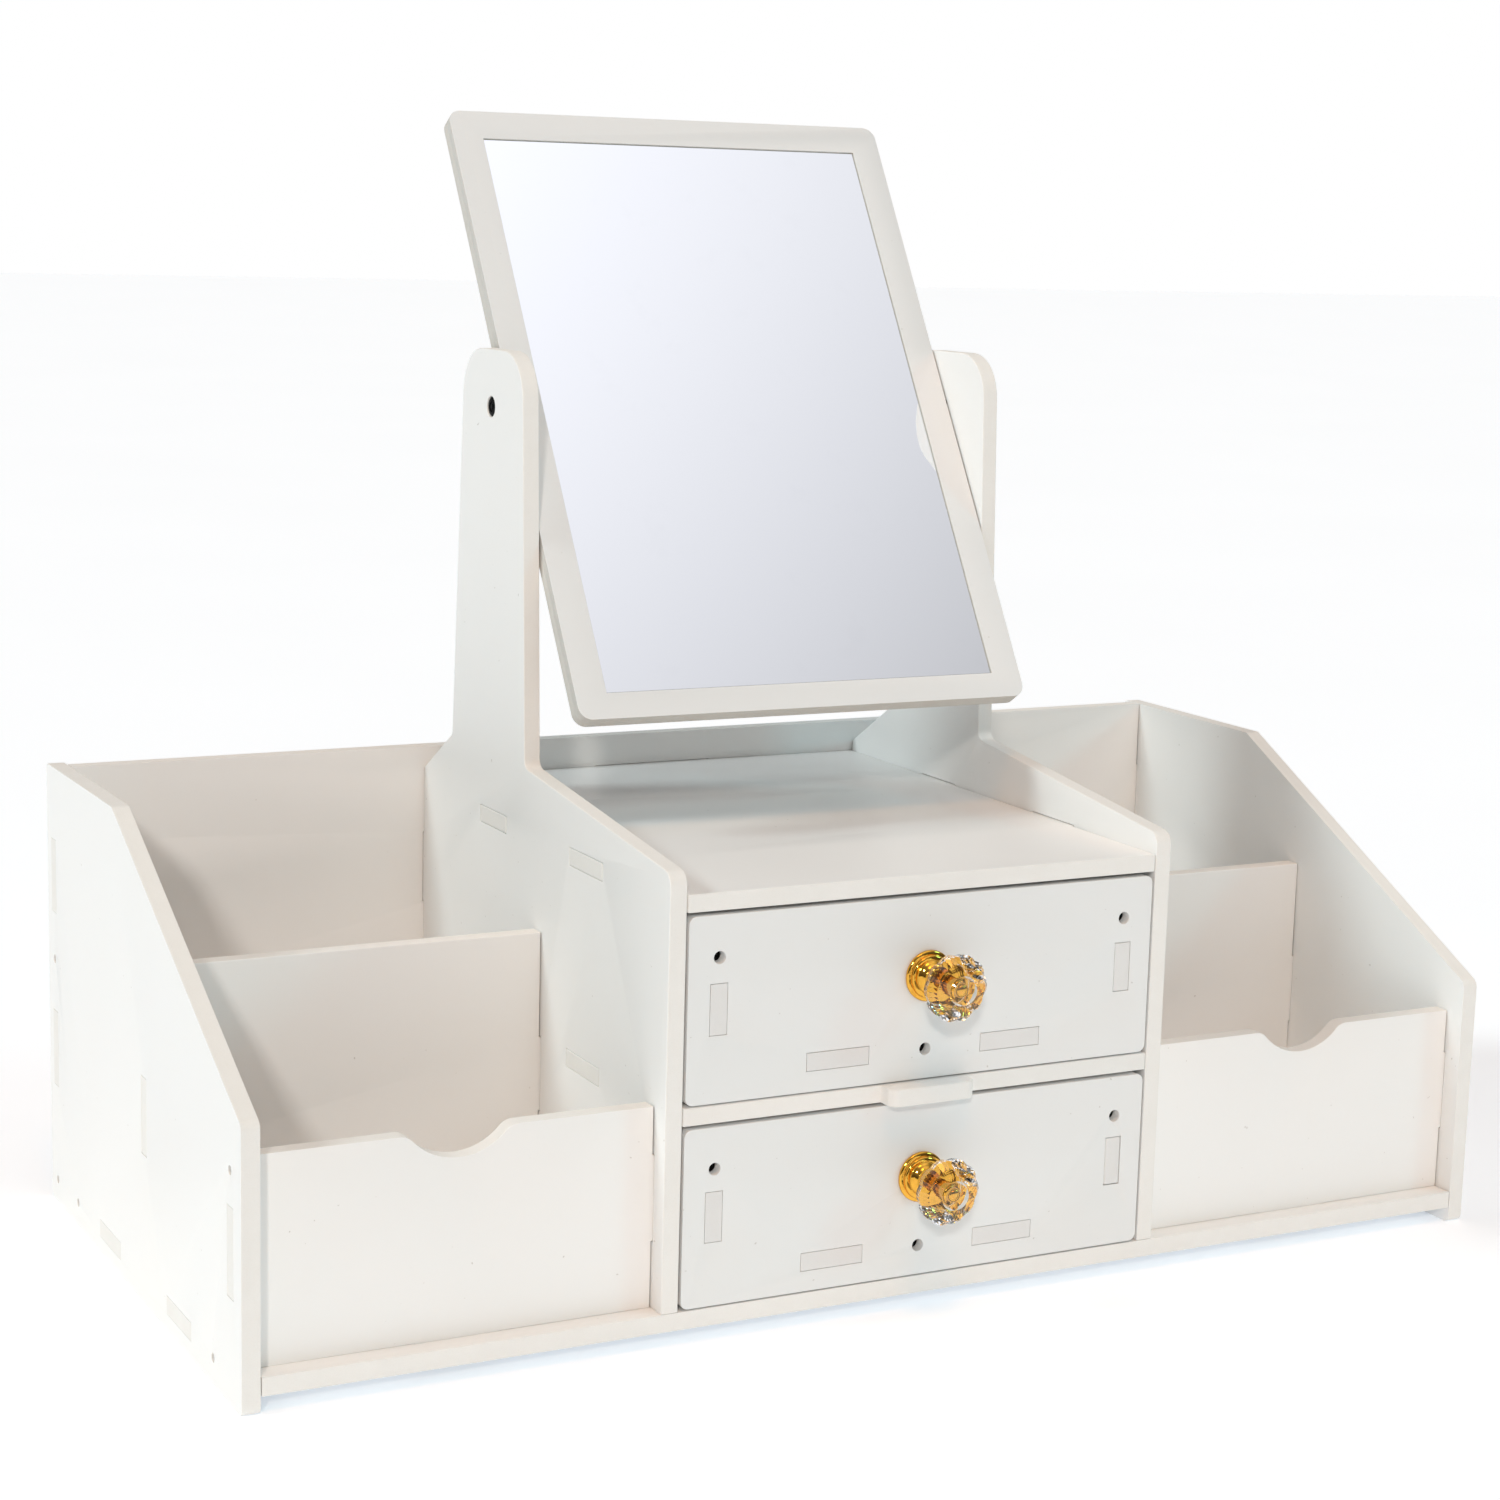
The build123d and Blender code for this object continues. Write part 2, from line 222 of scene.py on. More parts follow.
# %% [markdown]
# ## Foamed board: a smooth skin and a cut edge
#
# Foamed plastic sheet leaves its rollers with a closed, satin skin. It isn't glassy: the skin has a
# faint orange peel, and it rolls a little over a few centimetres. Where a cutter went through, the foam
# cells are open, so the edge is chalkier, warmer and slightly darker, and its pits are painted darker
# still, as painted shade in the open cells. Those are two finishes, and each board gets both, chosen by
# which way a face looks. White plastic is never pure white: a slightly warm base makes the light that
# bounces about inside the bins turn cream, as it does in the real thing.

# %% The skin of the board
DUST = (0.42, 0.38, 0.33)                       # the colour of a speck


def board_skin(name, base, shade):
    """Satin white sheet: faint orange peel, soft mottling and a few specks of dust."""
    finish = Finish(name)
    cloudy = finish.noise(45 * MM, 3)
    peel = finish.noise(0.9 * MM, 2)
    roll = finish.noise(28 * MM, 1)
    speck = finish.ramp(finish.noise(1.6 * MM, 1), [(0.0, 0.0), (0.79, 0.0), (0.83, 1.0)])
    tone = finish.blend(cloudy, base, shade)
    gloss = cloudy * 0.12 + 0.36 + speck * 0.2
    relief = finish.bump(peel * 0.012 + roll * 0.25, 0.35 * MM)
    return finish.surface(Base_Color=finish.blend(speck * 0.45, tone, DUST), Roughness=gloss,
                          Normal=relief, IOR=1.48)


case_skin = board_skin("case_board_skin", (0.895, 0.883, 0.86), (0.915, 0.908, 0.89))
# The drawer and mirror boards are the same white sheet as the case. Their darker copies are painted shade,
# standing in for the lesser light that falls on those boards.
drawer_painted_shade_skin = board_skin("drawer_board_skin", (0.80, 0.80, 0.785), (0.825, 0.828, 0.815))
mirror_painted_shade_skin = board_skin("mirror_board_skin", (0.79, 0.79, 0.78), (0.815, 0.818, 0.81))


# %% The cut edge of the board
def cut_edge(name, base, pore_shade_and_stain):
    """Open foam cells on a sawn edge: chalky, pitted, a little warmer than the skin, with painted shade in
    the pits.
    """
    finish = Finish(name)
    cells = finish.node("ShaderNodeTexVoronoi", {}, {"Vector": finish.place, "Scale": 1 / (0.35 * MM)})
    pit = finish.ramp(cells, [(0.0, 1.0), (0.22, 0.25), (0.5, 0.0)])
    stain = finish.noise(9 * MM, 3, 0.6)
    # The colour leans to the darker pore colour in the pits, as painted shade in the open cells, and in
    # random stain patches.
    colour = finish.blend(pit * 0.35 + stain * 0.4, base, pore_shade_and_stain)
    relief = finish.bump(stain * 0.4 - pit * 0.5, 0.06 * MM)
    return finish.surface(Base_Color=colour, Roughness=stain * 0.15 + 0.68, Normal=relief, IOR=1.45)


case_edge = cut_edge("case_board_cut_edge", (0.89, 0.87, 0.835), (0.77, 0.735, 0.68))
# The drawer and mirror edges are darker copies of the same cut foam: painted shade, darkest on the mirror,
# whose rim sits in shade.
drawer_painted_shade_edge = cut_edge("drawer_board_cut_edge", (0.79, 0.78, 0.765), (0.71, 0.69, 0.665))
mirror_painted_shade_edge = cut_edge("mirror_board_cut_edge", (0.66, 0.64, 0.60), (0.52, 0.49, 0.44))

# %% [markdown]
# ## Metal, crystal and glass
#
# The knob feet are polished and gold plated, so almost all of their look is reflection: a metallic
# surface, a low roughness, and hair-fine scratches that vary it. Crystal is the opposite, with no colour
# of its own, and facets that bend what is behind them. The mirror is silvered glass, whose sawn rim
# looks green and dull. The nails and the knob screws are bright zinc. The screws in the drawer fronts
# and the pins that hold the mirror are near-black steel, which makes their holes read dark.

# %% Polished and plated metals
SCRATCHES_A_METRE = (900, 6000, 900)            # packed close along Y, so each one is a fine line across it


def metal(name, base, worn, rough, scratch_depth):
    """A metal whose fine scratches and thin wear vary its gloss and colour."""
    finish = Finish(name)
    wear = finish.noise(2.2 * MM, 4, 0.65)
    stretched = finish.node("ShaderNodeMapping", {}, {"Vector": finish.place, "Scale": SCRATCHES_A_METRE})
    scratch = finish.node("ShaderNodeTexNoise", {}, {"Vector": stretched, "Scale": 1.0, "Detail": 3.0})
    colour = finish.blend(finish.ramp(wear, [(0.0, 0.0), (0.5, 0.0), (0.75, 1.0)]), base, worn)
    return finish.surface(Base_Color=colour, Metallic=1.0, Roughness=wear * 0.08 + scratch * 0.05 + rough,
                          Normal=finish.bump(scratch, scratch_depth))


gold = metal("polished_gold", (0.83, 0.44, 0.065), (0.66, 0.30, 0.035), 0.03, 0.002 * MM)
zinc = metal("bright_zinc", (0.60, 0.60, 0.61), (0.42, 0.42, 0.43), 0.22, 0.01 * MM)
# Near-black, so that the holes of the drawer screws and mirror pins read dark.
near_black_steel = metal("blackened_steel", (0.006, 0.006, 0.006), (0.015, 0.015, 0.015), 0.5, 0.01 * MM)


# %% Crystal, silvered glass and its rim
def cut_crystal():
    """Clear cut crystal with the faint haze that handling leaves on it."""
    finish = Finish("cut_crystal")
    haze = finish.ramp(finish.noise(3 * MM, 3), [(0.0, 0.0), (0.55, 0.0), (0.9, 1.0)])
    return finish.surface(Base_Color=(0.985, 0.99, 1.0, 1), Roughness=haze * 0.03 + 0.004,
                          Transmission_Weight=1.0, IOR=1.54)


def silvering():
    """The reflecting face of the mirror, with a breath of dust in soft patches."""
    finish = Finish("silvered_glass")
    dust = finish.ramp(finish.noise(14 * MM, 4, 0.6), [(0.0, 0.0), (0.6, 0.0), (1.0, 1.0)])
    colour = finish.blend(dust, (0.93, 0.94, 0.965), (0.90, 0.91, 0.935))
    return finish.surface(Base_Color=colour, Metallic=1.0, Roughness=dust * 0.05 + 0.012)


def glass_rim():
    """The ground rim of the mirror glass."""
    finish = Finish("ground_glass_rim")
    grind = finish.noise(0.5 * MM, 3)
    return finish.surface(Base_Color=finish.blend(grind, (0.42, 0.52, 0.48), (0.55, 0.63, 0.60)),
                          Roughness=grind * 0.2 + 0.3, Normal=finish.bump(grind, 0.03 * MM), IOR=1.5)


crystal, silver, rim = cut_crystal(), silvering(), glass_rim()

# %% [markdown]
# ## Boards with softened edges
#
# A CAD board has perfectly sharp corners, and nothing real has those. A sharp corner catches no light,
# so a render of it looks like paper. Each board is therefore copied, its loose triangles are welded and
# dissolved back into whole faces, and every hard edge gets a round of a third of a millimetre, or a
# little more on the drawers, which are handled. The round also turns the hairline round each tab into the
# soft groove that shows where boards meet. A Bevel modifier could do the same, but in mesh code the faces
# can be sorted into skin and cut edge at once, by which way they look.

# %% Make a mesh a piece of the object
def as_piece(mesh, name, body, replaced, smooth_below=35):
    """Link a mesh as a piece that rides on a body and stands for CAD nodes."""
    mesh.shade_smooth()
    mesh.set_sharp_from_angle(angle=math.radians(smooth_below))
    piece = bpy.data.objects.new(name, mesh)
    bpy.context.scene.collection.objects.link(piece)
    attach(piece, body)
    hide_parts(*replaced)
    return piece


def finished(work, name, body, materials, replaced, smooth_below=35):
    """Turn a bmesh and its materials into a piece."""
    mesh = bpy.data.meshes.new(name)
    work.to_mesh(mesh)
    work.free()
    for material in materials:
        mesh.materials.append(material)
    return as_piece(mesh, name, body, replaced, smooth_below)


# %% Copy a board, weld it and round its edges
SKIN, EDGE = 0, 1                               # material places on every board and on the glass
SKIN_LIMIT = 0.6                                # cosine of the lean at which a face counts as cut edge
WELD = 0.001 * MM                               # corners closer than this are one corner
FLAT = math.radians(0.5)                        # faces that meet at less than this are one face
HARD = math.radians(30)                         # edges sharper than this are rounded
BOARD_ROUND, DRAWER_ROUND, GLASS_ROUND = 0.32 * MM, 0.45 * MM, 0.15 * MM


def welded(node):
    """A bmesh copy of a CAD node with its loose triangles joined at their corners."""
    work = bmesh.new()
    work.from_mesh(nodes[node].data)
    bmesh.ops.remove_doubles(work, verts=work.verts, dist=WELD)
    return work


def soft_board(node, body, materials, rounding=BOARD_ROUND):
    """A board with rounded edges: the skin on its two wide faces, cut foam on all the others."""
    work = welded(node)
    bmesh.ops.dissolve_limit(work, angle_limit=FLAT, verts=work.verts, edges=work.edges)
    skin_way = max(work.faces, key=lambda face: face.calc_area()).normal.copy()
    hard = [edge for edge in work.edges if edge.is_manifold and edge.calc_face_angle() > HARD]
    bmesh.ops.bevel(work, geom=hard, offset=rounding, segments=2, profile=0.5, affect="EDGES",
                    clamp_overlap=True)
    for face in work.faces:
        face.material_index = SKIN if abs(face.normal.dot(skin_way)) > SKIN_LIMIT else EDGE
    return finished(work, "soft_" + node, body, materials, [node], 24)


# %% Dress every board
LEVELS = ("upper", "lower")
DRAWER_PARTS = ("front", "left_side", "right_side", "back", "bottom")
MIRROR_PARTS = ("mirror_frame", "mirror_backing")
case_parts = [name for name, board in nodes.items() if board["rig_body"] == "case" and name != "case_nails"]
for name in case_parts:
    soft_board(name, "case", [case_skin, case_edge])
# The drawers and the mirror take the darker copies of the board finishes, which are painted shade.
for level in LEVELS:
    for part in DRAWER_PARTS:
        soft_board(f"{level}_drawer_{part}", f"{level}_drawer", [drawer_painted_shade_skin, drawer_painted_shade_edge],
                   DRAWER_ROUND)
for name in MIRROR_PARTS:
    soft_board(name, "mirror", [mirror_painted_shade_skin, mirror_painted_shade_edge])
soft_board("mirror_glass", "mirror", [silver, rim], GLASS_ROUND)
print("softened", len(case_parts), "case boards and", len(LEVELS) * len(DRAWER_PARTS), "drawer boards")

# %% [markdown]
# ## Nails and screws with Geometry Nodes
#
# The side panels are nailed to the boards that they hold, and screws sit deep in the drawer fronts. All
# nails are alike, so one Geometry Nodes tree makes a nail and puts a copy on every point that it is
# given. The points are read from the CAD solids: one vertex in the middle of each head, with an
# attribute that says which way the nail points.

# %% Find the separate solids of a CAD node
def solids(node):
    """The lowest and highest corner of each separate solid in a CAD node."""
    work = welded(node)
    waiting, found = set(work.verts), []
    while waiting:
        group, growing = set(), [waiting.pop()]
        while growing:
            vertex = growing.pop()
            group.add(vertex)
            near = {edge.other_vert(vertex) for edge in vertex.link_edges} & waiting
            waiting -= near
            growing.extend(near)
        low = Vector([min(vertex.co[axis] for vertex in group) for axis in range(3)])
        high = Vector([max(vertex.co[axis] for vertex in group) for axis in range(3)])
        found.append((low, high))
    work.free()
    return sorted(found, key=lambda box: tuple(box[0]))


print("nails:", len(solids("case_nails")), "screws a drawer:", len(solids("upper_drawer_screws")))


# %% A Geometry Nodes tree with named inputs
class ShapeTree(Bench):
    """A Geometry Nodes tree under construction. `given` holds its inputs by name."""

    def __init__(self, name, inputs):
        super().__init__(bpy.data.node_groups.new(name, "GeometryNodeTree"))
        for label, kind in inputs.items():
            self.tree.interface.new_socket(label, in_out="INPUT", socket_type="NodeSocket" + kind)
        self.tree.interface.new_socket("Geometry", in_out="OUTPUT", socket_type="NodeSocketGeometry")
        entry = self.node("NodeGroupInput").socket.node
        self.given = {socket.name: Wire(self, socket) for socket in entry.outputs if socket.name}

    def lifted(self, shape, height, scale=(1, 1, 1)):
        """Scale a shape and raise it along Z."""
        lift = self.node("ShaderNodeCombineXYZ", {}, {2: height})
        return self.node("GeometryNodeTransform", {}, {
            "Geometry": shape, "Translation": lift, "Scale": scale})

    def ended(self, shape):
        """Make copies real, dress them in the tree's `Finish` and close the tree."""
        real = self.node("GeometryNodeRealizeInstances", {}, {"Geometry": shape})
        dressed = self.node("GeometryNodeSetMaterial", {}, {
            "Geometry": real, "Material": self.given["Finish"]})
        self.node("NodeGroupOutput", {}, {0: dressed})
        print("tree", self.tree.name, "has", len(self.tree.nodes), "nodes")
        return self.tree


# %% A tree that puts a fastener on every point
HEAD_SIDES, SHANK_SIDES = 24, 16                # flats round a head and round a shank
TIP_SLENDERNESS = 2.5                           # a tip is this many shank radii long


def fastener_tree():
    """Geometry Nodes that build one fastener along +Z and copy it onto points, turned along `aim`."""
    bench = ShapeTree("fastener_on_points", {
        "Geometry": "Geometry", "Head Radius": "Float", "Head Height": "Float", "Shank Radius": "Float",
        "Length": "Float", "Finish": "Material"})
    head_radius, head_height = bench.given["Head Radius"], bench.given["Head Height"]
    shank_radius = bench.given["Shank Radius"]
    ball = bench.node("GeometryNodeMeshUVSphere", {}, {
        "Segments": HEAD_SIDES, "Rings": HEAD_SIDES // 2, "Radius": head_radius})
    flatten = bench.node("ShaderNodeCombineXYZ", {}, {0: 1.0, 1: 1.0, 2: head_height / head_radius})
    head = bench.lifted(ball, head_height, flatten)
    tip_length = shank_radius * TIP_SLENDERNESS
    shank_length = bench.given["Length"] - head_height - tip_length
    rod = bench.node("GeometryNodeMeshCylinder", {}, {
        "Vertices": SHANK_SIDES, "Radius": shank_radius, "Depth": shank_length})
    shank = bench.lifted(rod, head_height + shank_length / 2)
    cone = bench.node("GeometryNodeMeshCone", {}, {
        "Vertices": SHANK_SIDES, "Radius Top": 0.0, "Radius Bottom": shank_radius, "Depth": tip_length})
    tip = bench.lifted(cone, head_height + shank_length)
    whole = bench.node("GeometryNodeJoinGeometry", {}, {0: [head, shank, tip]})
    aim = bench.node("GeometryNodeInputNamedAttribute", {"data_type": "FLOAT_VECTOR"}, {"Name": "aim"})
    turn = bench.node("FunctionNodeAlignRotationToVector", {"axis": "Z"}, {"Vector": aim})
    copies = bench.node("GeometryNodeInstanceOnPoints", {}, {
        "Points": bench.given["Geometry"], "Instance": whole, "Rotation": turn})
    return bench.ended(copies)


def made_by(tree, base, name, values):
    """Run a Geometry Nodes tree on a mesh and return the result as a plain mesh."""
    holder = bpy.data.objects.new(name, base)
    bpy.context.scene.collection.objects.link(holder)
    modifier = holder.modifiers.new("making", "NODES")
    modifier.node_group = tree
    for socket in tree.interface.items_tree:
        if socket.in_out == "INPUT" and socket.name in values:
            modifier[socket.identifier] = values[socket.name]
    graph = bpy.context.evaluated_depsgraph_get()
    mesh = bpy.data.meshes.new_from_object(holder.evaluated_get(graph))
    holder.modifiers.remove(modifier)
    bpy.data.objects.remove(holder)
    return mesh


# %% Nail the panels and screw the drawer fronts
fasteners = fastener_tree()


def fastened(node, name, body, way, head, shank_radius, finish):
    """All the nails or screws of one CAD node. `way` says which way the one at a place points."""
    places = solids(node)
    starts, ways = [], []
    for low, high in places:
        middle, half = (low + high) / 2, (high - low) / 2
        aim = way(middle)
        starts.append(middle - aim * abs(half.dot(aim)))
        ways.append(aim)
    points = bpy.data.meshes.new(name + "_points")
    points.from_pydata(starts, [], [])
    attribute = points.attributes.new("aim", "FLOAT_VECTOR", "POINT")
    attribute.data.foreach_set("vector", [part for aim in ways for part in aim])
    length = max((high - low).dot(Vector([abs(part) for part in ways[0]])) for low, high in places)
    head_radius, head_height = head
    mesh = made_by(fasteners, points, name, {
        "Head Radius": head_radius, "Head Height": head_height, "Shank Radius": shank_radius,
        "Length": length, "Finish": finish})
    as_piece(mesh, name, body, [node])
    print(name, "has", len(places), "fasteners", round(length / MM, 1), "mm long")


def inwards(middle):
    """A nail in a side panel points at the middle of the case."""
    return Vector((-math.copysign(1, middle.x), 0, 0))


def backwards(middle):
    """A screw in a drawer front points at the back."""
    return Vector((0, 1, 0))


NAIL_HEAD, NAIL_SHANK = (1.2 * MM, 0.35 * MM), 0.7 * MM     # a head is its radius and its height
SCREW_HEAD, SCREW_SHANK = (1.7 * MM, 0.6 * MM), 0.95 * MM
fastened("case_nails", "panel_nails", "case", inwards, NAIL_HEAD, NAIL_SHANK, zinc)
for level in LEVELS:
    fastened(f"{level}_drawer_screws", f"{level}_front_screws", f"{level}_drawer", backwards,
             SCREW_HEAD, SCREW_SHANK, near_black_steel)

# %% [markdown]
# ## Turned metal
#
# The knob's foot, the stud inside the crystal, the knob's screw and the mirror's pins were all made on a
# lathe. A lathe shape is one outline spun round an axis, so one function serves them all. The outline
# is given as (distance along the axis, radius), closed at both ends, and the poles are welded.

# %% A lathe
def turned(outline, origin, axis, name, body, material, replaced, steps=32, smooth_below=35):
    """Spin an outline of (along, radius) pairs, in millimetres, round an axis that starts at origin."""
    work = bmesh.new()
    turn = axis.to_track_quat("Z", "Y").to_matrix()
    rings = []
    for along, radius in outline:
        ring = []
        for step in range(steps if radius else 1):
            angle = math.tau * step / steps
            local = Vector((radius * math.cos(angle), radius * math.sin(angle), along)) * MM
            ring.append(work.verts.new(origin + turn @ local))
        rings.append(ring)
    for ring, following in zip(rings, rings[1:]):
        for step in range(steps):
            after = (step + 1) % steps
            if len(ring) == 1:
                work.faces.new((ring[0], following[after], following[step]))
            elif len(following) == 1:
                work.faces.new((ring[step], ring[after], following[0]))
            else:
                work.faces.new((ring[step], ring[after], following[after], following[step]))
    bmesh.ops.recalc_face_normals(work, faces=work.faces)
    return finished(work, name, body, [material], replaced, smooth_below)


print("the lathe is ready")

# %% [markdown]
# ## Knobs of cut crystal
#
# The knob's crystal is pressed and cut like a flower: petals round the rim, narrowing to the foot at the
# back and to a small polished table at the front. It follows a rule, so Geometry Nodes make it from a
# flat grid. One side of the grid becomes the way round, the other the way along. Three curves say how the
# radius, the reach and the depth of the petals change on the way, and an absolute sine pulls the rim in
# between petals. The faces stay flat, because each one has to flash on its own.

# %% The petal crystal as a Geometry Nodes tree
PETALS, COLUMNS = 10, 4                         # petals round the rim, and grid columns for each
PETAL_DEPTH = 0.06                              # share of its radius by which the rim dips between petals
POLE = 0.002 * MM                               # points closer than this are welded, which closes the poles


def crystal_tree(radius_curve, reach_curve, petal_curve):
    """Geometry Nodes that roll a grid into a petalled crystal, pointing along -Y."""
    bench = ShapeTree("petal_crystal", {
        "Geometry": "Geometry", "Petals": "Int", "Rows": "Int", "Radius": "Float", "Reach": "Float",
        "Petal Depth": "Float", "Start": "Vector", "Finish": "Material"})
    given = bench.given
    grid = bench.node("GeometryNodeMeshGrid", {}, {
        "Size X": 1.0, "Size Y": 1.0,
        "Vertices X": given["Petals"] * COLUMNS + 1, "Vertices Y": given["Rows"]})
    place = bench.node("GeometryNodeInputPosition")
    split = bench.node("ShaderNodeSeparateXYZ", {}, {0: place})
    across, along = split + 0.5, split.beside(1) + 0.5
    angle = across * math.tau
    petal = abs((angle * given["Petals"] / 2).sine())
    swell = bench.node("ShaderNodeFloatCurve", {"curve": radius_curve}, {"Value": along})
    reach = bench.node("ShaderNodeFloatCurve", {"curve": reach_curve}, {"Value": along})
    lobes = bench.node("ShaderNodeFloatCurve", {"curve": petal_curve}, {"Value": along})
    radius = swell * given["Radius"] * (1 - (1 - petal) * lobes * given["Petal Depth"])
    rolled = bench.node("ShaderNodeCombineXYZ", {}, {
        0: radius * angle.sine(), 1: reach * given["Reach"] * -1.0, 2: radius * angle.cosine()})
    moved = bench.node("ShaderNodeVectorMath", {"operation": "ADD"}, {0: rolled, 1: given["Start"]})
    shaped = bench.node("GeometryNodeSetPosition", {}, {"Geometry": grid, "Position": moved})
    closed = bench.node("GeometryNodeMergeByDistance", {}, {"Geometry": shaped, "Distance": POLE})
    return bench.ended(closed)


# The rows run from back to front: pole, collar, swelling, two for the rim, bevel, neck, table and its pole.
radii = [0.0, 0.52, 0.66, 0.97, 1.0, 0.80, 0.44, 0.38, 0.0]
reaches = [0.0, 0.0, 0.16, 0.42, 0.60, 0.80, 0.90, 1.0, 1.0]
petals = [0.0, 0.10, 0.7, 1.0, 1.0, 0.75, 0.15, 0.0, 0.0]
ROWS = len(radii)
row_places = [step / (ROWS - 1) for step in range(ROWS)]
crystals = crystal_tree(*(list(zip(row_places, levels)) for levels in (radii, reaches, petals)))

# %% Build both knobs
OUTWARD = Vector((0, -1, 0))                    # a knob stands out from its drawer front
FOOT_STEPS = [(0, 0), (0, 6.6), (0.12, 7.0), (0.4, 7.2), (0.9, 7.2), (1.15, 7.05), (1.3, 6.7), (1.4, 6.2),
              (1.75, 6.05), (2.1, 6.1), (2.35, 5.95), (2.5, 5.6), (2.6, 4.9), (2.9, 4.75), (3.2, 4.6),
              (3.5, 4.1), (4.0, 3.5), (4.6, 3.2), (5.4, 3.05), (6.1, 3.1), (6.8, 3.5), (7.4, 4.2),
              (7.9, 4.85), (8.3, 5.0), (8.6, 4.95)]
STUD_RADIUS = 2.1
SCREW_DOME = [(0, 0), (0, 2.2), (0.25, 3.0), (0.8, 3.6), (1.4, 3.8), (2.4, 3.8)]
SCREW_RADIUS = 1.95


def petal_crystal(level, height):
    """The clear flower of one knob, fitted to the box of its CAD solid."""
    low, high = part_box(f"{level}_knob_crystal")
    flower = made_by(crystals, bpy.data.meshes.new("empty"), f"{level}_crystal", {
        "Petals": PETALS, "Rows": ROWS, "Radius": (high.z - low.z) / 2, "Reach": high.y - low.y,
        "Petal Depth": PETAL_DEPTH, "Start": Vector((0, high.y, height)), "Finish": crystal})
    work = bmesh.new()
    work.from_mesh(flower)
    bmesh.ops.recalc_face_normals(work, faces=work.faces)
    work.to_mesh(flower)
    work.free()
    as_piece(flower, f"{level}_petal_crystal", level + "_drawer", [f"{level}_knob_crystal"], 1)
    print(level, "crystal stands out to y", round(low.y / MM, 1), "mm, with", len(flower.polygons), "facets")


def knob(level):
    """One whole knob: gold foot, crystal, gold stud, and the screw that holds it from inside the drawer."""
    body = f"{level}_drawer"
    foot_low, foot_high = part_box(f"{level}_knob_foot")
    stud_low, stud_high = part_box(f"{level}_knob_stud")
    screw_low, screw_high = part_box(f"{level}_knob_screw")
    height = (foot_low.z + foot_high.z) / 2
    length = (foot_high.y - foot_low.y) / MM
    turned(FOOT_STEPS + [(length, 4.7), (length, 0)], Vector((0, foot_high.y, height)), OUTWARD,
           f"{level}_gold_foot", body, gold, [f"{level}_knob_foot"], steps=72, smooth_below=50)
    petal_crystal(level, height)
    length = (stud_high.y - stud_low.y) / MM
    stud = [(0.05, 0), (0.05, STUD_RADIUS), (length - 1.0, STUD_RADIUS), (length - 0.5, 1.95),
            (length - 0.2, 1.6), (length, 1.1), (length, 0)]
    turned(stud, Vector((0, stud_high.y, height)), OUTWARD, f"{level}_gold_stud", body, gold,
           [f"{level}_knob_stud"])
    length = (screw_high.y - screw_low.y) / MM
    screw = SCREW_DOME + [(2.4, SCREW_RADIUS), (length - 1, SCREW_RADIUS), (length, 1.2), (length, 0)]
    turned(screw, Vector((0, screw_high.y, height)), OUTWARD, f"{level}_pan_screw", body, zinc,
           [f"{level}_knob_screw"])


for level in LEVELS:
    knob(level)

# %% [markdown]
# ## The pins that the mirror turns on
#
# A pin goes in from outside each post, with its flat head sunk into the post and a dimple where a driver
# pushed it home. It is a lathe shape too. The pins ride on the mirror and not on the case, because they
# are pressed into the mirror's edge and turn in the posts.

# %% Turn the mirror's pins
PIN_RADIUS, PIN_HEAD_DEPTH = 1.83, 2.7
PIN_DIMPLE = [(0, 0), (0, 0.8), (0.35, 0.8), (0.35, 1.5), (0, 1.7), (0.05, 2.5)]
for side, sign in (("left", -1), ("right", 1)):
    low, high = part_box(f"{side}_pivot_pin")
    middle = (low + high) / 2
    head_face = Vector((high.x if sign > 0 else low.x, middle.y, middle.z))
    length, head_radius = (high.x - low.x) / MM, (high.z - low.z) / 2 / MM
    pin = PIN_DIMPLE + [(0.4, head_radius), (PIN_HEAD_DEPTH, head_radius), (PIN_HEAD_DEPTH, PIN_RADIUS),
                        (length - 0.6, PIN_RADIUS), (length, 1.3), (length, 0)]
    turned(pin, head_face, Vector((-sign, 0, 0)), f"{side}_mirror_pin", "mirror", near_black_steel,
           [f"{side}_pivot_pin"], steps=40)
    print(side, "pin is", round(length, 1), "mm long")

# %% [markdown]
# ## The floor
#
# The organiser stands on plain pale paper. In a studio such paper is lit from below as well, like a light
# table, so that it comes out white without drowning the object in light from above. A weak, cool glow in
# the paper does that here, and it also fills the undersides of the boards.

# %% Floor
FLOOR_REACH = 12.0
FLOOR_GLOW, FLOOR_GLOW_STRENGTH = (0.78, 0.88, 1.0, 1), 0.28


def floor_finish():
    """Seamless white paper with a weak light of its own."""
    finish = Finish("pale_floor")
    cloud = finish.noise(0.35, 2)
    paper = finish.blend(cloud, (0.93, 0.93, 0.93), (0.95, 0.95, 0.95))
    return finish.surface(Base_Color=paper, Roughness=cloud * 0.1 + 0.75, Emission_Color=FLOOR_GLOW,
                          Emission_Strength=FLOOR_GLOW_STRENGTH)


floor_mesh = bpy.data.meshes.new("floor")
corners = [(x * FLOOR_REACH, y * FLOOR_REACH, 0) for x, y in ((-1, -1), (1, -1), (1, 1), (-1, 1))]
floor_mesh.from_pydata(corners, [], [(0, 1, 2, 3)])
floor_mesh.materials.append(floor_finish())
floor = bpy.data.objects.new("floor", floor_mesh)
bpy.context.scene.collection.objects.link(floor)

# %% [markdown]
# ## The lamps
#
# A crisp lamp in front on the left draws the shadows of the knobs. A softer, cooler lamp in front on the
# right opens the dark corners, and one at the left side lights the outer panel. A weak warm lamp overhead
# takes the chill off the shelf. They are sun lamps, far away, so every knob gets the same shadow, and the
# angle that a lamp fills says how soft that shadow is.

